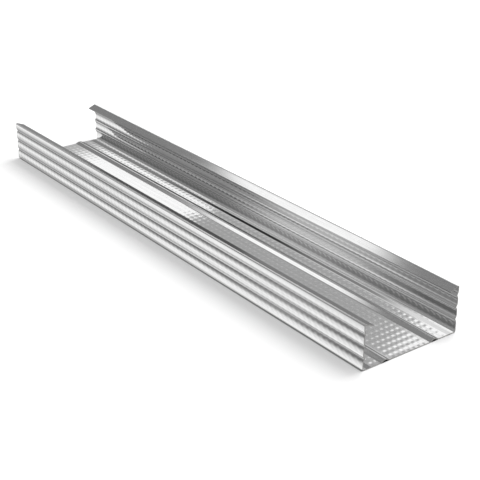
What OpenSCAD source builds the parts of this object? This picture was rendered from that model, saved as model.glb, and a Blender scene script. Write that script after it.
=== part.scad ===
// Drywall stud: one strip of galvanised steel, roll-formed to a lipped channel.
// The stud lies on its web, open side up. X runs along it, Y across it, Z up.
// The origin is at the middle of the underside.

/* [Strip] */
// Thickness of the steel strip
strip_t = 0.6; // [0.4:0.05:1]
// Radius inside the two bends at the web
bend_r = 0.8; // [0.4:0.1:1.6]
// Radius inside the two bends at the lips
lip_bend_r = 0.5; // [0.2:0.1:1.5]

/* [Stud] */
// Length of the cut piece
stud_l = 425; // [100:1:1200]
// Width of the web, over both flanges
web_w = 76; // [64:1:150]
// Height of the wide flange, from the underside of the web
wide_flange_h = 32; // [30:0.5:45]
// Height of the narrow flange, which lets two studs box together
narrow_flange_h = 30.5; // [29:0.5:45]

/* [Lips] */
// Width of each lip, from the outside of its flange to its free edge
lip_w = 7; // [4.5:0.25:9]
// Fall of each lip towards its free edge, in degrees
lip_fall = 22; // [0:1:28]

/* [Web ribs] */
// Distance from the outside of a flange to the middle of its rib
rib_inset = 18; // [14:0.5:24]
// Width of a rib at its foot
rib_w = 7; // [5:0.5:9]
// Height of a rib above the web
rib_h = 1.5; // [0.6:0.1:2]
// Radius inside the folds of a rib
rib_r = 1.8; // [0.5:0.1:2.5]

/* [Flange grooves] */
// Number of grooves in each flange
groove_count = 3; // [1:1:3]
// Distance from the top of the flange down to the middle of the upper groove
groove_drop = 6.4; // [5:0.1:7.5]
// Distance between the middles of two grooves
groove_pitch = 8.1; // [5:0.1:8.5]
// Width of a groove at its mouth
groove_w = 3.2; // [2.6:0.1:4]
// Depth of a groove
groove_d = 1.2; // [0.6:0.1:1.3]
// Radius inside the fold at the bed of a groove
groove_r = 0.5; // [0.2:0.1:1]
// Radius inside the shoulders that lead into a groove, where the slopes have room for it
shoulder_r = 3.5; // [0.5:0.25:6]

/* [Hidden] */

steel = [0.74, 0.75, 0.76];
// Largest angle that one facet of a fold turns through
facet_angle = 12;

// Half the strip: the section is drawn on its middle line and thickened by this much each way
half_t = strip_t / 2;
// Middle lines of the web and of the flanges
web_z = half_t;
flange_y = web_w / 2 - half_t;
rib_y = web_w / 2 - rib_inset;

// Radii of the middle line in the folds
bend_mid_r = bend_r + half_t;
lip_mid_r = lip_bend_r + half_t;
rib_mid_r = rib_r + half_t;
groove_mid_r = groove_r + half_t;

// The slopes of a groove: their length, and the angle at which they leave the flange
groove_slope = norm([groove_w / 2, groove_d]);
groove_angle = atan2(groove_d, groove_w / 2);
// The shoulders take what the fold at the bed leaves of a slope, up to half a flat on each side
shoulder_mid_r = min(
    shoulder_r + half_t,
    (groove_slope - groove_mid_r * tan(groove_angle)) / tan(groove_angle / 2),
    (groove_pitch - groove_w) / 2 / tan(groove_angle / 2)
);

function unit(v) = v / norm(v);
function left_of(v) = [-v[1], v[0]];
function turned(v, angle) = [
    v[0] * cos(angle) - v[1] * sin(angle),
    v[0] * sin(angle) + v[1] * cos(angle)
];
function flipped(list) = [for (i = [len(list) - 1:-1:0]) list[i]];

// A corner is [y, z, radius]: a sharp turn of the middle line, and the radius that rounds it.
function place(corner) = [corner[0], corner[1]];

// A crease is a ridge of three corners between two flats. It starts and ends on the line
// through centre along the unit vector along, and its crest stands off that line by rise.
function crease(centre, along, width, rise, foot_r, crest_r) = [
    for (step = [[-width / 2, 0, foot_r], [0, 1, crest_r], [width / 2, 0, foot_r]])
        let (p = centre + along * step[0] + rise * step[1])
        [p[0], p[1], step[2]]
];

// The web from the narrow flange to the wide one, without its bends: two ribs raised inwards
function web_corners() = [
    for (y = [-rib_y, rib_y])
        each crease([y, web_z], [1, 0], rib_w, [0, rib_h], rib_mid_r, rib_mid_r)
];

// One flange on the +Y side, from its bend at the web up to the free edge of its lip. The bend
// at the lip turns past the level, so its crown, and not its corner, is at the flange's height.
function flange_corners(flange_h) =
    let (
        lip_bend_z = flange_h - half_t - lip_mid_r,
        lip_z = lip_bend_z + lip_mid_r * tan((90 + lip_fall) / 2),
        lip_run = lip_w - half_t
    )
    concat(
        [[flange_y, web_z, bend_mid_r]],
        [
            for (i = [groove_count - 1:-1:0])
                each crease([flange_y, flange_h - groove_drop - i * groove_pitch], [0, 1],
                    groove_w, [-groove_d, 0], shoulder_mid_r, groove_mid_r)
        ],
        [[flange_y, lip_z, lip_mid_r]],
        [[flange_y - lip_run, lip_z - lip_run * tan(lip_fall), 0]]
    );

function mirrored(corners) = [for (c = corners) [-c[0], c[1], c[2]]];

// The whole middle line, from the free edge of one lip to that of the other
strip_corners = concat(
    flipped(mirrored(flange_corners(narrow_flange_h))),
    web_corners(),
    flange_corners(wide_flange_h)
);

// A station is [point, normal]: a point of the middle line and the unit vector to its left.
// fold gives the stations of the arc that rounds corner b between corners a and c.
function fold(a, b, c) =
    let (
        before = unit(place(b) - place(a)),
        after = unit(place(c) - place(b)),
        turn = atan2(cross(before, after), before * after),
        radius = b[2] * sign(turn),
        start = place(b) - before * radius * tan(turn / 2),
        centre = start + left_of(before) * radius,
        facets = ceil(abs(turn) / facet_angle)
    )
    [
        for (i = [0:facets])
            let (normal = turned(left_of(before), turn * i / facets))
            [centre - normal * radius, normal]
    ];

// The free edge at corner a of the flat that runs along the vector along
function free_edge(a, along) = [place(a), left_of(unit(along))];

function stations(corners) =
    let (last = len(corners) - 1)
    concat(
        [free_edge(corners[0], place(corners[1]) - place(corners[0]))],
        [
            for (i = [1:last - 1])
                each fold(corners[i - 1], corners[i], corners[i + 1])
        ],
        [free_edge(corners[last], place(corners[last]) - place(corners[last - 1]))]
    );

// Section of the strip: its middle line moved half the thickness to each side
module strip_section() {
    line = stations(strip_corners);
    inside = [for (s = line) s[0] + s[1] * half_t];
    outside = [for (s = line) s[0] - s[1] * half_t];
    polygon(concat(outside, flipped(inside)));
}

// The stud: the section drawn out along X, cut square at both ends
module stud() {
    color(steel)
        translate([-stud_l / 2, 0, 0])
            rotate([90, 0, 90])
                linear_extrude(height = stud_l)
                    strip_section();
}

stud();
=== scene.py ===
"""Looks of a short length of roll-formed drywall stud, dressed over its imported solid.

The stud is one strip of galvanised steel. It is rebuilt here with the dimples that its rolls
leave in it, given a bright zinc finish, and shown on a pale floor in a plain studio.
Lengths are in metres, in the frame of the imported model: X along the stud, Y across, Z up. The
classes of the studio say which of their places are in millimetres.
"""

import logging
import math
from dataclasses import dataclass
from enum import Enum
from typing import Any, Union

import bmesh
import bpy
from mathutils import Euler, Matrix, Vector

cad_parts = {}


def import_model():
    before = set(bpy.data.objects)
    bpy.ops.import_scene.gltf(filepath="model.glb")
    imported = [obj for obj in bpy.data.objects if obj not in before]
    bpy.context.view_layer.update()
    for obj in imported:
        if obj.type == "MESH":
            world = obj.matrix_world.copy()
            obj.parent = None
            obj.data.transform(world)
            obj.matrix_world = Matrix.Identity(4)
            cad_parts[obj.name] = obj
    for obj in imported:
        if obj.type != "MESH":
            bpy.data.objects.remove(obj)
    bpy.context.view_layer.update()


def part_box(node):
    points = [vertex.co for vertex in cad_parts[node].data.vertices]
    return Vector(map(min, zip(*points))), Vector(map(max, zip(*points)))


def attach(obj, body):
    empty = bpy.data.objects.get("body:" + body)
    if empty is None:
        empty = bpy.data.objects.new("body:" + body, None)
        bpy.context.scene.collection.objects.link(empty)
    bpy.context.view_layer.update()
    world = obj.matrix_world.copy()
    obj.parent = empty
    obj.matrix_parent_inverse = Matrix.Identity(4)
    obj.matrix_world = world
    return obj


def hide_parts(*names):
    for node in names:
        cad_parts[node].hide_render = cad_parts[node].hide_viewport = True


LOG = logging.getLogger("stud")
MM = 0.001
Number = Union[int, float]
Colour = tuple[float, float, float]
Point = tuple[float, float, float]
Span = tuple[float, float]


# ---------------------------------------------------------------------------------------------
# Shader maths


class Wire:
    """A socket of a node tree, used as a value in a Python expression."""

    def __init__(self, bench: "Bench", socket: bpy.types.NodeSocket) -> None:
        """Wrap one output socket.

        Args:
            bench: The node tree that the socket belongs to.
            socket: The output socket.
        """
        self.bench = bench
        self.socket = socket

    def _maths(self, operation: str, *values: Any) -> "Wire":
        """Add a Math node.

        Args:
            operation: The node's operation, such as "ADD".
            values: Its inputs in order, each a wire or a number.

        Returns:
            The node's result.
        """
        inputs = dict(enumerate(values))
        return self.bench.node("ShaderNodeMath", {"operation": operation}, inputs).out(0)

    def __add__(self, other: Any) -> "Wire":
        """Sum of this and another value."""
        return self._maths("ADD", self, other)

    def __radd__(self, other: Any) -> "Wire":
        """Sum of another value and this."""
        return self._maths("ADD", other, self)

    def __sub__(self, other: Any) -> "Wire":
        """This less another value."""
        return self._maths("SUBTRACT", self, other)

    def __rsub__(self, other: Any) -> "Wire":
        """Another value less this."""
        return self._maths("SUBTRACT", other, self)

    def __mul__(self, other: Any) -> "Wire":
        """Product of this and another value."""
        return self._maths("MULTIPLY", self, other)

    def __rmul__(self, other: Any) -> "Wire":
        """Product of another value and this."""
        return self._maths("MULTIPLY", other, self)

    def __truediv__(self, other: Any) -> "Wire":
        """This divided by another value."""
        return self._maths("DIVIDE", self, other)

    def __abs__(self) -> "Wire":
        """This value without its sign."""
        return self._maths("ABSOLUTE", self)

    def wave(self) -> "Wire":
        """Cosine of this value, in radians."""
        return self._maths("COSINE", self)

    def turn_from(self, other: Any) -> "Wire":
        """Angle of the vector (other, this), in degrees from the first axis."""
        return self._maths("ARCTAN2", self, other) * (180 / math.pi)

    def rise(self, low: Any, high: Any) -> "Wire":
        """A smooth step of this value.

        Args:
            low: Where the step starts, at 0, a wire or a number.
            high: Where it ends, at 1, the same.

        Returns:
            0 below low, 1 above high, and a smooth ramp between them.
        """
        settings = {"interpolation_type": "SMOOTHSTEP", "clamp": True}
        inputs = {"Value": self, "From Min": low, "From Max": high}
        return self.bench.node("ShaderNodeMapRange", settings, inputs).out("Result")

    def change(self, start: Number, end: Number, stretch: tuple[Number, Number]) -> "Wire":
        """A value that changes smoothly over a stretch of this one.

        Args:
            start: Its value below the stretch.
            end: Its value above the stretch.
            stretch: Where the change starts and where it ends.

        Returns:
            The changing value.
        """
        return start + (end - start) * self.rise(*stretch)

    def between(self, low: Any, high: Any, soft: Number) -> "Wire":
        """A band of this value with soft edges.

        Args:
            low: The band's lower edge, a wire or a number.
            high: Its upper edge, the same.
            soft: Half the width of each edge.

        Returns:
            1 inside the band and 0 outside it.
        """
        return self.rise(low - soft, low + soft) * (1 - self.rise(high - soft, high + soft))


class NodeHandle:
    """A node that was added to a tree, and its outputs."""

    def __init__(self, bench: "Bench", node: bpy.types.Node) -> None:
        """Keep the node and the bench that it is on."""
        self.bench = bench
        self.node = node

    def out(self, key: Union[int, str]) -> Wire:
        """The output socket of that name or number."""
        return Wire(self.bench, self.node.outputs[key])


class Bench:
    """A node tree with one method that adds any node to it."""

    def __init__(self, tree: bpy.types.NodeTree) -> None:
        """Start from an empty tree."""
        self.tree = tree
        tree.nodes.clear()

    def node(self, kind: str, settings: dict[str, Any], inputs: dict[Any, Any]) -> NodeHandle:
        """Add one node.

        Args:
            kind: The node's type, such as "ShaderNodeTexNoise".
            settings: Its properties, which are set first. "stops" is a ramp's list of
                (position, grey level).
            inputs: Its inputs by name or number, each a wire or a plain value.

        Returns:
            The node, with its outputs at hand.
        """
        made = self.tree.nodes.new(kind)
        for name, value in settings.items():
            if name == "stops":
                self._set_stops(made.color_ramp, value)
            else:
                setattr(made, name, value)
        for key, value in inputs.items():
            if isinstance(value, Wire):
                self.tree.links.new(value.socket, made.inputs[key])
            else:
                made.inputs[key].default_value = value
        return NodeHandle(self, made)

    def axes(self, vector: Wire) -> tuple[Wire, Wire, Wire]:
        """The X, Y and Z of a vector."""
        split = self.node("ShaderNodeSeparateXYZ", {}, {"Vector": vector})
        return split.out("X"), split.out("Y"), split.out("Z")

    def place(self) -> Wire:
        """The shaded place, in metres in the frame of the model."""
        return self.node("ShaderNodeTexCoord", {}, {}).out("Object")

    def mix(self, share: Wire, first: Any, second: Any) -> Wire:
        """Mix two colours.

        Args:
            share: How much of the second one shows, from 0 to 1.
            first: The first colour, a wire or (red, green, blue).
            second: The second colour, the same.

        Returns:
            The mixed colour.
        """
        settings = {"data_type": "RGBA", "blend_type": "MIX"}
        colours = [c if isinstance(c, Wire) else (*c, 1.0) for c in (first, second)]
        return self.node(
            "ShaderNodeMix", settings, {0: share, 6: colours[0], 7: colours[1]}).out(2)

    @staticmethod
    def _set_stops(ramp: bpy.types.ColorRamp, stops: list[tuple[float, float]]) -> None:
        """Give a ramp its grey stops.

        Args:
            ramp: A new node's colour ramp.
            stops: (position, grey level) of each stop, in order.
        """
        while len(ramp.elements) < len(stops):
            ramp.elements.new(1.0)
        for element, (position, grey) in zip(ramp.elements, stops):
            element.position = position
            element.color = (grey, grey, grey, 1.0)


# ---------------------------------------------------------------------------------------------
# Finishes


@dataclass(frozen=True)
class GalvanisedSteel:
    """Bright rolled zinc: fine streaks along the strip over a soft crystal pattern.

    Its relief is the web's shallow step down to its plain margins, worn dimples on the flanges
    and the grain of the streaks. The sheared ends of the strip are bare steel, and duller.
    """

    half_length: float
    colour: Colour = (0.865, 0.865, 0.865)
    streak_colour: Colour = (0.765, 0.765, 0.765)
    streak_share: float = 0.6
    crystal_share: float = 0.25
    roughness: float = 0.075
    streak_roughness: float = 0.05
    streak_width: float = 0.9 * MM
    streak_length: float = 160 * MM
    streak_edges: Span = (0.42, 0.72)
    crystal: float = 3.5 * MM
    grain_rise: float = 0.002 * MM
    step_place: float = 33.4 * MM
    step_width: float = 4.6 * MM
    step_drop: float = 0.66 * MM
    worn_pitch: Span = (5.13 * MM, 4.13 * MM)
    worn_rise: float = 0.016 * MM
    worn_span: Span = (40.0 * MM, 66.0 * MM)
    worn_soft: float = 1.0 * MM
    cut_colour: Colour = (0.62, 0.61, 0.60)
    cut_roughness: float = 0.35
    cut_depth: Span = (0.05 * MM, 0.25 * MM)

    def material(self) -> bpy.types.Material:
        """Make the finish.

        Returns:
            A material that reads Object coordinates and the piece's own UV map, in metres along
            and across the strip.
        """
        made = bpy.data.materials.new("galvanised_steel")
        made.use_nodes = True
        bench = Bench(made.node_tree)
        strip = bench.node("ShaderNodeUVMap", {"uv_map": StudStrip.STRIP_MAP}, {}).out("UV")
        along, across, _ = bench.axes(strip)
        streaks = self._streaks(bench, strip)
        dull = streaks * self.streak_share + self._crystals(bench) * self.crystal_share
        zinc = bench.mix(dull, self.colour, self.streak_colour)
        cut = self._cut_ends(bench)
        tone = bench.mix(cut, zinc, self.cut_colour)
        rolled = self.roughness + streaks * self.streak_roughness
        roughness = rolled + cut * (self.cut_roughness - rolled)
        relief = (self._web_step(across) + self._worn_dimples(along, across)
                  + streaks * self.grain_rise)
        bump = bench.node(
            "ShaderNodeBump", {}, {"Strength": 1.0, "Distance": 1.0, "Height": relief}
        ).out("Normal")
        shader = bench.node(
            "ShaderNodeBsdfPrincipled", {},
            {"Base Color": tone, "Metallic": 1.0, "Roughness": roughness, "Normal": bump},
        ).out("BSDF")
        bench.node("ShaderNodeOutputMaterial", {}, {"Surface": shader})
        return made

    def _streaks(self, bench: Bench, strip: Wire) -> Wire:
        """Streaks that the rolls draw along the strip, from 0 to 1."""
        scale = (1 / self.streak_length, 1 / self.streak_width, 0.0)
        stretched = bench.node(
            "ShaderNodeMapping", {"vector_type": "POINT"}, {"Vector": strip, "Scale": scale}
        ).out("Vector")
        noise = bench.node(
            "ShaderNodeTexNoise", {"noise_dimensions": "2D"},
            {"Vector": stretched, "Scale": 1.0, "Detail": 3.0, "Roughness": 0.6},
        ).out("Fac")
        return noise.rise(*self.streak_edges)

    def _crystals(self, bench: Bench) -> Wire:
        """Zinc crystals, each with its own level from 0 to 1."""
        cells = bench.node(
            "ShaderNodeTexVoronoi", {"feature": "F1"},
            {"Vector": bench.place(), "Scale": 1 / self.crystal, "Randomness": 1.0},
        ).out("Color")
        return bench.node("ShaderNodeSeparateColor", {}, {"Color": cells}).out("Red")

    def _web_step(self, across: Wire) -> Wire:
        """The shallow step down from the web's field to its plain margins, in metres."""
        start = self.step_place - self.step_width / 2
        return abs(across).change(0, -self.step_drop, (start, start + self.step_width))

    def _worn_dimples(self, along: Wire, across: Wire) -> Wire:
        """The worn dimples of the flanges, in metres."""
        waves = [(place * (math.tau / pitch)).wave()
                 for place, pitch in zip((along, across), self.worn_pitch)]
        flange = abs(across).between(*self.worn_span, self.worn_soft)
        return flange * (waves[0] * waves[1]) * self.worn_rise

    def _cut_ends(self, bench: Bench) -> Wire:
        """1 on the sheared ends of the strip, where the steel is bare, and 0 elsewhere."""
        along, _, _ = bench.axes(bench.place())
        thin, thick = self.cut_depth
        return abs(along).rise(self.half_length - thick, self.half_length - thin)


# ---------------------------------------------------------------------------------------------
# The stud


class Fold(Enum):
    """The kinds of fold in the strip, each with the number of facets that round it."""

    FLANGE_BEND = ("bend at the web", 4)
    LIP_BEND = ("bend at the lip", 5)
    RIB_FOOT = ("foot of a rib", 1)
    RIB_CREST = ("crest of a rib", 3)
    GROOVE_MOUTH = ("mouth of a groove", 3)
    GROOVE_BED = ("bed of a groove", 3)

    @property
    def facets(self) -> int:
        """The number of facets that round this kind of fold."""
        return self.value[1]


@dataclass(frozen=True)
class Corner:
    """A sharp turn of the strip's middle line, before it is rounded."""

    y: float
    z: float
    fold: Union[Fold, None] = None
    radius: float = 0.0

    def mirrored(self) -> "Corner":
        """The same corner on the other side of the stud."""
        return Corner(-self.y, self.z, self.fold, self.radius)


@dataclass
class StudStrip:
    """The stud: one dimpled strip, folded to a web, two flanges and two lips.

    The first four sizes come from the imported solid. The outer faces lie under the solid's by a
    small clearance. The dimples are pressed up into the channel, on every flat that is wide
    enough for them but the plain margins of the web.
    """

    length: float
    web_w: float
    wide_flange_h: float
    floor_z: float
    narrow_flange_h: float = 30.5 * MM
    strip_t: float = 0.6 * MM
    bend_r: float = 0.8 * MM
    lip_bend_r: float = 0.5 * MM
    lip_w: float = 7.0 * MM
    lip_fall: float = math.radians(22)
    rib_inset: float = 18.0 * MM
    rib_w: float = 7.0 * MM
    rib_h: float = 1.5 * MM
    rib_r: float = 1.8 * MM
    groove_count: int = 3
    groove_drop: float = 6.4 * MM
    groove_pitch: float = 8.1 * MM
    groove_w: float = 3.2 * MM
    groove_d: float = 1.2 * MM
    groove_r: float = 0.5 * MM
    shoulder_r: float = 3.5 * MM
    dimple_along: float = 5.13 * MM
    dimple_across: float = 4.13 * MM
    dimple_rise: float = 0.06 * MM
    dimple_reach: Span = (2.5 * MM, 1.65 * MM)
    shortest_dimpled_flat: float = 6.0 * MM
    plain_margin: Span = (31.0 * MM, 37.0 * MM)
    clearance: float = 0.008 * MM
    sharp_angle: float = math.radians(50)

    STRIP_MAP = "strip"
    DIMPLE_STEPS = 6
    BAY_DIMPLES = 4
    SAME_PLACE = 0.01 * MM
    CUT_SNAP = 0.0001 * MM
    SHORTEST_LONG_EDGE = 1.0 * MM

    @property
    def half_t(self) -> float:
        """Half the thickness of the strip."""
        return self.strip_t / 2

    @property
    def skin_depth(self) -> float:
        """How deep the middle line lies under the solid's outer faces."""
        return self.half_t + self.clearance

    @property
    def flange_y(self) -> float:
        """The middle line of the flange on the +Y side."""
        return self.web_w / 2 - self.skin_depth

    def _crease(self, centre: Vector, along: Vector, rise: Vector, width: float,
                folds: tuple[Fold, Fold], radii: tuple[float, float]) -> list[Corner]:
        """A ridge between two flats.

        Args:
            centre: The middle of its foot, as (0, y, z).
            along: Unit vector along the flat.
            rise: From the foot to the crest.
            width: Its width at the foot.
            folds: The kinds of fold at its feet and at its crest.
            radii: Radii of the middle line in those folds.

        Returns:
            Its three corners, in order along the flat.
        """
        points = (centre - along * width / 2, centre + rise, centre + along * width / 2)
        return [Corner(p.y, p.z, folds[i], radii[i]) for p, i in zip(points, (0, 1, 0))]

    def _flange_corners(self, height: float) -> list[Corner]:
        """A flange on the +Y side.

        Args:
            height: Its height over the underside of the web.

        Returns:
            Its corners, from the bend at the web up to the free edge of its lip.
        """
        bend = self.bend_r + self.half_t
        web_z = self.floor_z + self.skin_depth
        corners = [Corner(self.flange_y, web_z, Fold.FLANGE_BEND, bend)]
        for number in reversed(range(self.groove_count)):
            z = height - self.groove_drop - number * self.groove_pitch
            corners += self._crease(
                Vector((0, self.flange_y, z)), Vector((0, 0, 1)), Vector((0, -self.groove_d, 0)),
                self.groove_w, (Fold.GROOVE_MOUTH, Fold.GROOVE_BED),
                (self.shoulder_r + self.half_t, self.groove_r + self.half_t))
        lip_bend = self.lip_bend_r + self.half_t
        setback = lip_bend * math.tan((math.pi / 2 + self.lip_fall) / 2)
        fall = math.sin(self.lip_fall)
        crown_drop = setback * (1 + fall - math.hypot(1, fall))
        lip_z = height - self.half_t - self.clearance + crown_drop
        run = self.lip_w - self.half_t
        corners.append(Corner(self.flange_y, lip_z, Fold.LIP_BEND, lip_bend))
        corners.append(Corner(self.flange_y - run, lip_z - run * math.tan(self.lip_fall)))
        return corners

    def corners(self) -> list[Corner]:
        """The middle line, from the narrow flange's lip to that of the wide one."""
        web_z = self.floor_z + self.skin_depth
        rib_y = self.web_w / 2 - self.rib_inset
        narrow = [c.mirrored() for c in reversed(self._flange_corners(self.narrow_flange_h))]
        web: list[Corner] = []
        for y in (-rib_y, rib_y):
            web += self._crease(
                Vector((0, y, web_z)), Vector((0, 1, 0)), Vector((0, 0, self.rib_h)),
                self.rib_w, (Fold.RIB_FOOT, Fold.RIB_CREST), (self.rib_r + self.half_t,) * 2)
        return narrow + web + self._flange_corners(self.wide_flange_h)

    def build(self) -> bpy.types.Object:
        """Fold, divide, dimple and thicken the strip.

        Returns:
            The stud as an object at the origin.
        """
        bm = bmesh.new()
        self._lay_out(bm)
        self._round_folds(bm)
        self._cut_rows(bm)
        self._cut_columns(bm)
        self._press_dimples(bm)
        mesh = bpy.data.meshes.new("stud_strip")
        bm.to_mesh(mesh)
        bm.free()
        stud = bpy.data.objects.new("stud_strip", mesh)
        bpy.context.scene.collection.objects.link(stud)
        self._thicken(stud)
        return stud

    def _lay_out(self, bm: bmesh.types.BMesh) -> None:
        """Draw the middle line at one end and sweep it along the stud in one step."""
        start = -self.length / 2
        points = [bm.verts.new((start, c.y, c.z)) for c in self.corners()]
        line = [bm.edges.new(pair) for pair in zip(points, points[1:])]
        swept = bmesh.ops.extrude_edge_only(bm, edges=line)["geom"]
        moved = [v for v in swept if isinstance(v, bmesh.types.BMVert)]
        bmesh.ops.translate(bm, verts=moved, vec=(self.length, 0, 0))

    def _round_folds(self, bm: bmesh.types.BMesh) -> None:
        """Round every fold with its own radius and number of facets."""
        corners = self.corners()
        for before, corner, after in zip(corners, corners[1:], corners[2:]):
            inward = Vector((corner.y - before.y, corner.z - before.z))
            onward = Vector((after.y - corner.y, after.z - corner.z))
            setback = corner.radius * math.tan(inward.angle(onward) / 2)
            crease = [e for e in bm.edges if self._runs_at(e, corner)]
            bmesh.ops.bevel(
                bm, geom=crease, offset=setback, offset_type="OFFSET", affect="EDGES",
                segments=corner.fold.facets, profile=0.5, material=-1, clamp_overlap=False)

    def _runs_at(self, edge: bmesh.types.BMEdge, corner: Corner) -> bool:
        """Whether an edge runs along the stud at a corner of the middle line."""
        return all(math.hypot(v.co.y - corner.y, v.co.z - corner.z) < self.SAME_PLACE
                   for v in edge.verts)

    def _walk(self, bm: bmesh.types.BMesh) -> list[bmesh.types.BMVert]:
        """The vertices of the strip's first end, in order across the strip."""
        start = -self.length / 2
        ends = {v for v in bm.verts if abs(v.co.x - start) < self.SAME_PLACE}
        links = {v: [e.other_vert(v) for e in v.link_edges if e.other_vert(v) in ends]
                 for v in ends}
        tips = [v for v, others in links.items() if len(others) == 1]
        path = [min(tips, key=lambda v: v.co.y)]
        while len(path) < len(ends):
            path.append(next(v for v in links[path[-1]] if v not in path[-2:]))
        return path

    def _cut_rows(self, bm: bmesh.types.BMesh) -> None:
        """Store each row's place across the strip, and cut rows into the flats for the dimples.

        A place is the distance along the middle line from the middle of the web.
        """
        across = bm.verts.layers.float.new("across")
        pressed = bm.verts.layers.float.new("pressed")
        path = self._walk(bm)
        places = [0.0]
        for a, b in zip(path, path[1:]):
            places.append(places[-1] + (b.co - a.co).length)
        middle = next(i for i, v in enumerate(path) if v.co.y > 0)
        a, b = path[middle - 1].co, path[middle].co
        origin = places[middle - 1] - a.y / (b.y - a.y) * (b - a).length
        step = self.dimple_across / self.DIMPLE_STEPS
        margin = step / 3
        ends = [(v.co.copy(), place - origin) for v, place in zip(path, places)]
        for v in bm.verts:
            nearest = min(ends, key=lambda end: (end[0].yz - v.co.yz).length)
            v[across] = nearest[1]
        between_lips = ends[1:-1]
        for (co_a, place_a), (co_b, place_b) in zip(between_lips, between_lips[1:]):
            if place_b - place_a < self.shortest_dimpled_flat:
                continue
            along = (co_b - co_a).normalized()
            first = math.ceil((place_a + margin) / step)
            last = math.floor((place_b - margin) / step)
            for row in range(first, last + 1):
                point = co_a + along * (row * step - place_a)
                flat = [f for f in bm.faces if self._spans(f, point, along)]
                geom = flat + list({e for f in flat for e in f.edges})
                geom += list({v for f in flat for v in f.verts})
                cut = bmesh.ops.bisect_plane(
                    bm, geom=geom, plane_co=point, plane_no=along,
                    dist=self.CUT_SNAP)["geom_cut"]
                for v in (g for g in cut if isinstance(g, bmesh.types.BMVert)):
                    v[across] = row * step
                    v[pressed] = 1.0

    def _spans(self, face: bmesh.types.BMFace, point: Vector, along: Vector) -> bool:
        """Whether a face holds a point of the middle line, and lies along a vector there."""
        reach = [(v.co - point).dot(along) for v in face.verts]
        off = abs((face.verts[0].co - point).dot(along.cross(Vector((1, 0, 0)))))
        return min(reach) < 0 < max(reach) and off < self.SAME_PLACE

    def _long_edges(self, bm: bmesh.types.BMesh) -> list[bmesh.types.BMEdge]:
        """The edges that run along the stud and aren't finely divided yet."""
        return [e for e in bm.edges
                if abs(e.verts[0].co.x - e.verts[1].co.x) > self.SHORTEST_LONG_EDGE]

    def _cut_columns(self, bm: bmesh.types.BMesh) -> None:
        """Divide the strip along its length: in bays, and then finely where it is dimpled."""
        pressed = bm.verts.layers.float["pressed"]
        bays = self._dimples // self.BAY_DIMPLES
        bmesh.ops.subdivide_edges(
            bm, edges=self._long_edges(bm), cuts=bays - 1, use_grid_fill=False)
        fine_edges = [e for e in self._long_edges(bm)
                      if all(v[pressed] > 0.5 for v in e.verts)]
        cuts = self.BAY_DIMPLES * self.DIMPLE_STEPS - 1
        bmesh.ops.subdivide_edges(bm, edges=fine_edges, cuts=cuts, use_grid_fill=False)

    def _press_dimples(self, bm: bmesh.types.BMesh) -> None:
        """Press the dimples up into the channel, leave the margins plain, and lay the map."""
        across = bm.verts.layers.float["across"]
        pressed = bm.verts.layers.float["pressed"]
        strip = bm.loops.layers.uv.new(self.STRIP_MAP)
        bmesh.ops.recalc_face_normals(bm, faces=bm.faces)
        bm.normal_update()
        for face in bm.faces:
            for loop in face.loops:
                loop[strip].uv = (loop.vert.co.x, loop.vert[across])
        pitch = self.length / self._dimples
        for v in (v for v in bm.verts if v[pressed] > 0.5):
            row = round(v[across] / self.dimple_across) * self.dimple_across
            if self.plain_margin[0] < abs(row) < self.plain_margin[1]:
                continue
            along = (v.co.x / pitch + 0.5) % 1.0 - 0.5
            aside = (v[across] / self.dimple_across + 0.5) % 1.0 - 0.5
            off = math.hypot(along * pitch / self.dimple_reach[0],
                             aside * self.dimple_across / self.dimple_reach[1])
            v.co -= v.normal * (self.dimple_rise * max(0.0, 1 - off * off) ** 2)

    @property
    def _dimples(self) -> int:
        """How many dimples lie along the stud, a whole number of bays."""
        return round(self.length / self.dimple_along / self.BAY_DIMPLES) * self.BAY_DIMPLES

    def _thicken(self, stud: bpy.types.Object) -> None:
        """Give the strip its thickness, square ends, and smooth normals up to its cut edges."""
        wall = stud.modifiers.new("strip", "SOLIDIFY")
        wall.thickness = self.strip_t
        wall.offset = 0.0
        wall.use_even_offset = True
        bpy.context.view_layer.update()
        depsgraph = bpy.context.evaluated_depsgraph_get()
        finished = bpy.data.meshes.new_from_object(stud.evaluated_get(depsgraph))
        stud.modifiers.clear()
        stud.data = finished
        bm = bmesh.new()
        bm.from_mesh(finished)
        bmesh.ops.recalc_face_normals(bm, faces=bm.faces)
        for v in bm.verts:
            if abs(v.co.x) > self.length / 2 - self.half_t:
                v.co.x = math.copysign(self.length / 2, v.co.x)
        for face in bm.faces:
            face.smooth = True
        bm.to_mesh(finished)
        bm.free()
        finished.set_sharp_from_angle(angle=self.sharp_angle)


# ---------------------------------------------------------------------------------------------
# The studio


@dataclass(frozen=True)
class Panel:
    """A panel of the studio that only reflections show, as a window of the surround.

    Its turn is counted about the X axis, in degrees from +Y up to +Z and on to -Y. Its reach is
    how far a direction leans towards -X, from -1 to 1. A fold of the stud changes the turn of
    what it reflects and never the reach, so a panel shows on the same stretch of every fold.
    Reaches of 2 and -2 lie past every direction.
    """

    turn: Span
    reach: Span
    level: float
    soft_turn: float = 2.0
    soft_reach: float = 0.006

    def mask(self, turn: Wire, reach: Wire) -> Wire:
        """1 in the directions where the panel stands, with soft edges, and 0 elsewhere."""
        return (turn.between(*self.turn, self.soft_turn)
                * reach.between(*self.reach, self.soft_reach))


@dataclass(frozen=True)
class Stripe:
    """A stripe along a card, between two distances across it in millimetres.

    Its gains are shares of the card's own level, at its far and at its near end. Between them
    the gain changes over a stretch along the card.
    """

    span: Span
    far_gain: float
    near_gain: float
    stretch: Span = (0, 1)
    soft: float = 0.8

    def gain(self, x: Wire, y: Wire) -> Wire:
        """How much brighter the card is at a place, as a share of its own level."""
        gain = x.change(self.far_gain, self.near_gain, self.stretch)
        return gain * y.between(*self.span, self.soft)


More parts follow.
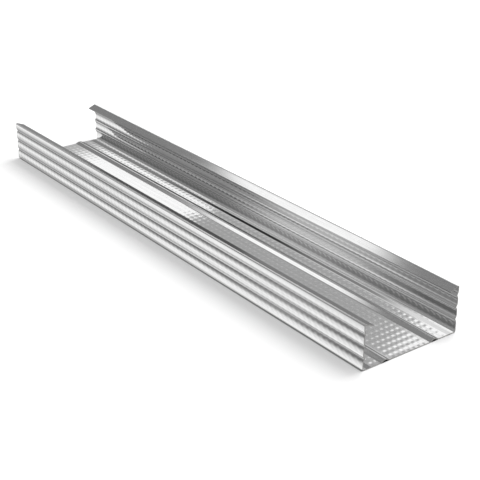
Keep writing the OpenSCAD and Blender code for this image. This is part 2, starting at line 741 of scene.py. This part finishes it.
@dataclass(frozen=True)
class Card:
    """A flat card of the studio that only reflections show.

    Its places are in millimetres: two opposite corners, with their heights over the floor, and
    the stretches along the stud over which its level changes.
    """

    name: str
    start: Point
    end: Point

    def level(self, bench: Bench, x: Wire, y: Wire) -> Wire:
        """How bright the card is at a place in millimetres."""
        raise NotImplementedError

    def cover(self, x: Wire, y: Wire) -> Union[Wire, float]:
        """How opaque the card is at a place in millimetres, from 0 to 1."""
        return 1.0

    def _corners(self, floor_z: float) -> list[Point]:
        """The four corners in metres, for a floor at that level."""
        (x0, y0, z0), (x1, y1, z1) = self.start, self.end
        ring = ((x0, y0, z0), (x1, y0, z0), (x1, y1, z1), (x0, y1, z1))
        return [(x * MM, y * MM, floor_z + z * MM) for x, y, z in ring]

    def build(self, floor_z: float) -> None:
        """Stand the card in the studio.

        Args:
            floor_z: The level of the floor.
        """
        bm = bmesh.new()
        bm.faces.new([bm.verts.new(corner) for corner in self._corners(floor_z)])
        mesh = bpy.data.meshes.new(self.name)
        bm.to_mesh(mesh)
        bm.free()
        card = bpy.data.objects.new(self.name, mesh)
        bpy.context.scene.collection.objects.link(card)
        mesh.materials.append(self._material())
        card.visible_camera = False
        card.visible_diffuse = False
        card.visible_shadow = False

    def _material(self) -> bpy.types.Material:
        """The glow of the card, clear where the card doesn't cover."""
        made = bpy.data.materials.new(self.name)
        made.use_nodes = True
        bench = Bench(made.node_tree)
        x, y, _ = (axis / MM for axis in bench.axes(bench.place()))
        glow = bench.node(
            "ShaderNodeEmission", {},
            {"Color": self.level(bench, x, y), "Strength": 1.0}).out("Emission")
        clear = bench.node("ShaderNodeBsdfTransparent", {}, {}).out("BSDF")
        mixed = bench.node(
            "ShaderNodeMixShader", {}, {0: self.cover(x, y), 1: clear, 2: glow}).out(0)
        bench.node("ShaderNodeOutputMaterial", {}, {"Surface": mixed})
        return made


@dataclass(frozen=True)
class InnerFloor(Card):
    """The shade inside the stud, which the inside of its wide flange reflects.

    It lies level, just over the floor, from the narrow flange to past the wide one. Its stripes
    stand for the ribs and the margins of the web. From the foot of the wide flange on it has
    levels of its own.
    """

    name: str = "inner_floor"
    start: Point = (-215, -38, 0.5)
    end: Point = (213, 60, 0.5)
    dark_level: float = 0.27
    middle_gain: float = 0.25
    middle_rise: Span = (-60, 40)
    middle_fall: Span = (70, 150)
    stripes: tuple[Stripe, ...] = (
        Stripe((10, 18), -0.65, 0.35, (-40, 20), 1.0),
        Stripe((19.5, 22.5), 0.3, 0.3),
        Stripe((23.2, 27.2), -0.5, -0.1, (-20, 30)),
        Stripe((27.8, 30.2), 0.45, 0.45),
        Stripe((31, 33.6), -0.5, -0.5, soft=0.7),
        Stripe((28, 38), 0.0, 0.42, (100, 150), 1.0),
    )
    end_stretch: Span = (125, 165)
    end_shade: float = 0.12
    end_stripe: Stripe = Stripe((21, 27), 0.18, 0.18, soft=1.0)
    past_edge: Span = (35, 36.5)
    past_levels: Span = (0.1, 0.44)
    past_stretch: Span = (-50, 60)
    streak_size: Span = (300, 2)
    streak_levels: Span = (0.55, 1.45)

    def level(self, bench: Bench, x: Wire, y: Wire) -> Wire:
        """Dark, brighter in the middle, with stripes and fine streaks along it."""
        middle = x.rise(*self.middle_rise) * (1 - x.rise(*self.middle_fall))
        level = self.dark_level + self.middle_gain * middle
        for stripe in self.stripes:
            level = level * (1 + stripe.gain(x, y))
        shade = self.end_shade + self.end_stripe.gain(x, y)
        level = level * (1 - x.rise(*self.end_stretch) * shade)
        past = x.change(*self.past_levels, self.past_stretch)
        level = level + y.rise(*self.past_edge) * (past - level)
        long, wide = self.streak_size
        place = bench.node("ShaderNodeCombineXYZ", {}, {0: x / long, 1: y / wide}).out("Vector")
        streak = bench.node(
            "ShaderNodeTexNoise", {"noise_dimensions": "2D"},
            {"Vector": place, "Scale": 1.0, "Detail": 2.0},
        ).out("Fac")
        low, high = self.streak_levels
        return level * (low + (high - low) * streak)


@dataclass(frozen=True)
class WebGlow(Card):
    """A white card over the far half, which the web between its margins reflects.

    It hangs level, outside the wide flange, from over the far half to well past the far end.
    """

    name: str = "web_glow"
    start: Point = (-420, 62, 60)
    end: Point = (-130, 111.5, 60)
    levels: Span = (0.98, 1.12)
    stretch: Span = (-370, -280)
    far_share: float = 0.5
    far_stretch: Span = (-345, -306)
    soft_edge: Span = (-140, -130)

    def level(self, bench: Bench, x: Wire, y: Wire) -> Wire:
        """White, dimmer over the far end of the web."""
        far = x.change(self.far_share, 1, self.far_stretch)
        return x.change(*self.levels, self.stretch) * far

    def cover(self, x: Wire, y: Wire) -> Wire:
        """Opaque, with a soft near edge."""
        return 1 - x.rise(*self.soft_edge)


@dataclass(frozen=True)
class RibShade(Card):
    """A dim strip low over the near end, which only the crest of a rib reflects.

    It hangs level, between the wide flange and the rib next to it.
    """

    name: str = "rib_shade"
    start: Point = (90, 24, 6)
    end: Point = (213, 30, 6)
    levels: Span = (0.2, 0.13)
    stretch: Span = (155, 178)
    soft_edge: Span = (110, 160)

    def level(self, bench: Bench, x: Wire, y: Wire) -> Wire:
        """Dim, and darker at the near end."""
        return x.change(*self.levels, self.stretch)

    def cover(self, x: Wire, y: Wire) -> Wire:
        """Fading in towards the near end."""
        return x.rise(*self.soft_edge)


@dataclass(frozen=True)
class InnerWall(Card):
    """The inside of the narrow flange, as the ridges inside the wide one reflect it.

    It stands upright, just inside the narrow flange, and runs past the far end.
    """

    name: str = "inner_wall"
    start: Point = (-232, -36, 1)
    end: Point = (213, -36, 29)
    levels: Span = (0.25, 0.8)
    stretch: Span = (-120, -20)
    near_shade: float = 0.42
    near_stretch: Span = (70, 150)

    def level(self, bench: Bench, x: Wire, y: Wire) -> Wire:
        """Dark in the far half, bright in the middle and dimmer at the near end."""
        shade = self.near_shade * x.rise(*self.near_stretch)
        return x.change(*self.levels, self.stretch) - shade


@dataclass(frozen=True)
class BaseShade(Card):
    """The shade at the foot of the narrow flange, which that flange reflects.

    It lies level, just over the floor, and fades out with the distance from the flange.
    """

    name: str = "base_shade"
    start: Point = (-212, -46, 0.2)
    end: Point = (212, -37.9, 0.2)
    levels: Span = (0.42, 0.77)
    stretch: Span = (-40, 180)
    flange_y: float = -38
    widths: Span = (2.6, 1.0)
    width_stretch: Span = (-180, 150)
    fade: Span = (0.5, 1.4)

    def level(self, bench: Bench, x: Wire, y: Wire) -> Wire:
        """Dark, and brighter towards the near end."""
        return x.change(*self.levels, self.stretch)

    def cover(self, x: Wire, y: Wire) -> Wire:
        """Fading away from the flange, sooner at the near end."""
        off = (self.flange_y - y) / x.change(*self.widths, self.width_stretch)
        return 1 - off.rise(*self.fade)


@dataclass(frozen=True)
class Studio:
    """A pale floor, a white surround with panels in it, and a soft lamp.

    Where the stud covers the floor, painted shade darkens it, and the gaps under its ribs are
    painted nearly black for their shade. The places of both are in millimetres. The apron is
    the low part of the surround, in front of the stud and under it.
    Its levels are listed by turn, as they stand at one reach. They shift by a number of degrees
    for each unit of reach. Its gleams are panels that add their level to it.
    """

    floor_side: float = 12.0
    floor_colour: Colour = (0.97, 0.97, 0.97)
    # Painted shade: darker floor under the stud, for a contact line at the narrow flange's foot.
    contact_shade_colour: Colour = (0.30, 0.30, 0.30)
    covered_x: Span = (-212, 212.2)
    covered_y: Span = (-38, 37)
    covered_soft: float = 0.5
    covered_slant: float = 0.5
    slant_stretch: Span = (-150, 150)
    # Painted shade: nearly black floor in the gaps under the ribs.
    rib_gap_shade_colour: Colour = (0.02, 0.02, 0.02)
    rib_gap_x: Span = (-212, 212.4)
    rib_gap_y: Span = (16, 24)
    rib_gap_soft: Span = (0.1, 0.2)
    dim_level: float = 0.30
    panels: tuple[Panel, ...] = (
        Panel((-60, -22), (0.0, 2.0), 0.9),
        Panel((-60, -36.2), (-2.0, 0.0), 0.55, 0.5),
        Panel((-36.2, -22), (-2.0, 0.0), 0.25, 0.5),
        Panel((-22, 6), (0.815, 2.0), 0.26, soft_reach=0.008),
        Panel((-22, 6), (0.712, 0.815), 0.09, soft_reach=0.012),
        Panel((-22, 6), (-2.0, 0.712), 0.22, soft_reach=0.015),
        Panel((6, 24), (0.765, 2.0), 0.24, soft_reach=0.035),
        Panel((6, 24), (0.685, 0.765), 0.03, soft_reach=0.03),
        Panel((6, 24), (0.622, 0.685), 0.24, soft_reach=0.015),
        Panel((6, 24), (-2.0, 0.622), 0.8, soft_reach=0.015),
        Panel((33.8, 50), (0.600, 2.0), 0.41, 1.0),
        Panel((24, 33.8), (0.770, 2.0), 0.32, 1.0),
        Panel((24, 33.8), (0.600, 0.770), 0.78, 1.0),
        Panel((24, 50), (-2.0, 0.602), 1.1, soft_reach=0.007),
        Panel((50, 82), (0.742, 2.0), 0.24, 1.5),
        Panel((82, 112), (0.742, 2.0), 0.36, 1.5),
        Panel((50, 112), (0.45, 0.750), 0.24, soft_reach=0.02),
        Panel((68, 98), (0.640, 0.752), 1.12, soft_reach=0.015),
        Panel((50, 112), (-2.0, 0.45), 0.85, 2.0, 0.05),
        Panel((112, 140), (0.72, 2.0), 0.7, 1.0),
        Panel((112, 140), (-2.0, 0.72), 0.45, 1.0, 0.02),
    )
    apron_turn: Span = (140.0, 320.0)
    apron_soft: float = 1.0
    apron_levels: tuple[Span, ...] = (
        (118, 0.28), (132, 0.30), (140, 0.27), (147, 0.155), (160, 0.20), (170, 0.32),
        (184, 0.55), (196, 0.82), (210, 1.04), (218, 1.02), (228, 0.76), (240, 0.58),
        (256, 0.44), (276, 0.34), (296, 0.27),
    )
    apron_skew: float = 115.0
    apron_reach: float = 0.80
    apron_gleams: tuple[Panel, ...] = (
        Panel((124, 184), (0.655, 0.705), 0.14, 14.0, 0.025),
        Panel((243, 400), (-2.0, 0.68), 0.28, 7.0, 0.06),
    )
    fill_level: float = 0.88
    key_size: float = 1.2
    key_place: Point = (-0.1, 0.9, 1.6)
    key_watts: float = 16.0

    def build(self, floor_z: float) -> None:
        """Set up the floor, the surround, the lamp and the cards.

        Args:
            floor_z: The level that the stud lies on.
        """
        self._floor(floor_z)
        self._surround()
        self._key()
        for card in (InnerFloor(), InnerWall(), BaseShade(), WebGlow(), RibShade()):
            card.build(floor_z)

    def _floor(self, floor_z: float) -> None:
        """The pale floor, with painted shade under the stud and in the gaps under its ribs."""
        bm = bmesh.new()
        bmesh.ops.create_grid(bm, x_segments=1, y_segments=1, size=self.floor_side / 2)
        bmesh.ops.translate(bm, verts=bm.verts, vec=(0, 0, floor_z))
        mesh = bpy.data.meshes.new("floor")
        bm.to_mesh(mesh)
        bm.free()
        floor = bpy.data.objects.new("floor", mesh)
        bpy.context.scene.collection.objects.link(floor)
        material = bpy.data.materials.new("pale_floor")
        material.use_nodes = True
        bench = Bench(material.node_tree)
        x, y, _ = (axis / MM for axis in bench.axes(bench.place()))
        # Painted shade: darker floor under the stud; its front edge slants along the stud.
        front, back = self.covered_y
        front = front - x.change(0, self.covered_slant, self.slant_stretch)
        covered = (x.between(*self.covered_x, self.covered_soft)
                   * y.between(front, back, self.covered_soft))
        # Painted shade: nearly black floor in the gaps under the ribs.
        soft_x, soft_y = self.rib_gap_soft
        gaps = x.between(*self.rib_gap_x, soft_x) * abs(y).between(*self.rib_gap_y, soft_y)
        colour = bench.mix(covered, self.floor_colour, self.contact_shade_colour)
        colour = bench.mix(gaps, colour, self.rib_gap_shade_colour)
        shader = bench.node("ShaderNodeBsdfDiffuse", {}, {"Color": colour}).out("BSDF")
        bench.node("ShaderNodeOutputMaterial", {}, {"Surface": shader})
        mesh.materials.append(material)
        floor.visible_glossy = False

    def _surround(self) -> None:
        """The world: white to the camera, an even fill, and panels in the reflections."""
        world = bpy.data.worlds.new("studio")
        bpy.context.scene.world = world
        world.use_nodes = True
        bench = Bench(world.node_tree)
        way = bench.node("ShaderNodeTexCoord", {}, {}).out("Generated")
        x, y, z = bench.axes(way)
        turn = z.turn_from(y)
        reach = -1 * x
        level: Any = self.dim_level
        for panel in self.panels:
            level = level + panel.mask(turn, reach) * (panel.level - level)
        level = self._apron(bench, turn, reach, level)
        path = bench.node("ShaderNodeLightPath", {}, {})
        glossy, camera = path.out("Is Glossy Ray"), path.out("Is Camera Ray")
        strength = self.fill_level + glossy * (level - self.fill_level)
        strength = strength + camera * (1 - strength)
        shader = bench.node(
            "ShaderNodeBackground", {}, {"Color": (1, 1, 1, 1), "Strength": strength}
        ).out("Background")
        bench.node("ShaderNodeOutputWorld", {}, {"Surface": shader})

    def _apron(self, bench: Bench, turn: Wire, reach: Wire, level: Wire) -> Wire:
        """Add the apron to the surround.

        Args:
            bench: The world's node tree.
            turn: The turn of a direction, from -180 to 180 degrees.
            reach: Its reach.
            level: The level of the rest of the surround.

        Returns:
            The level with the apron in it.
        """
        start, end = self.apron_levels[0][0], self.apron_levels[-1][0]
        brightest = max(grey for _, grey in self.apron_levels)
        whole = turn + 360 * (1 - turn.rise(-1e-3, 1e-3))  # from 0 to 360 degrees
        leant = whole - self.apron_skew * (self.apron_reach - reach)
        stops = [((at - start) / (end - start), grey / brightest)
                 for at, grey in self.apron_levels]
        ramp = bench.node(
            "ShaderNodeValToRGB", {"stops": stops}, {"Fac": (leant - start) / (end - start)}
        ).out("Color")
        apron = brightest * ramp
        for gleam in self.apron_gleams:
            apron = apron + gleam.level * gleam.mask(whole, reach)
        inside = whole.between(*self.apron_turn, self.apron_soft)
        return level + inside * (apron - level)

    def _key(self) -> None:
        """A large soft lamp over the stud, behind it as the camera sees it."""
        data = bpy.data.lights.new("key", "AREA")
        data.shape = "SQUARE"
        data.size = self.key_size
        data.energy = self.key_watts
        lamp = bpy.data.objects.new("key", data)
        lamp.location = self.key_place
        lamp.rotation_euler = (-lamp.location).to_track_quat("-Z", "Y").to_euler()
        lamp.visible_glossy = False
        bpy.context.scene.collection.objects.link(lamp)


@dataclass(frozen=True)
class View:
    """The camera: a long lens, above and in front of the stud's near end."""

    place: Point = (0.6297, -0.4383, 0.3516)
    azimuth: float = 143.14
    down: float = 25.06
    lens: float = 87.63
    sensor: float = 36.0
    nearest: float = 0.01

    def build(self) -> None:
        """Create the camera and make it the scene's own."""
        data = bpy.data.cameras.new("camera")
        data.lens = self.lens
        data.sensor_width = self.sensor
        data.clip_start = self.nearest
        camera = bpy.data.objects.new("camera", data)
        camera.location = self.place
        pitch = math.radians(90 - self.down)
        camera.rotation_euler = Euler((pitch, 0, math.radians(self.azimuth - 90)))
        bpy.context.scene.collection.objects.link(camera)
        bpy.context.scene.camera = camera


def main() -> None:
    """Load the frame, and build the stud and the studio."""
    logging.basicConfig(level=logging.INFO, format="%(name)s: %(message)s")
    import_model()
    bpy.context.scene.view_settings.view_transform = "Standard"
    low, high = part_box("stud")
    strip = StudStrip(
        length=high.x - low.x, web_w=high.y - low.y,
        wide_flange_h=high.z, floor_z=low.z)
    stud = strip.build()
    stud.data.materials.append(GalvanisedSteel(half_length=strip.length / 2).material())
    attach(stud, "root")
    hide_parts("stud")
    stud.visible_glossy = False
    triangles = sum(len(p.vertices) - 2 for p in stud.data.polygons)
    LOG.info("stud_strip: %d faces, %d triangles", len(stud.data.polygons), triangles)
    Studio().build(low.z)
    View().build()


if __name__ == "__main__":
    main()
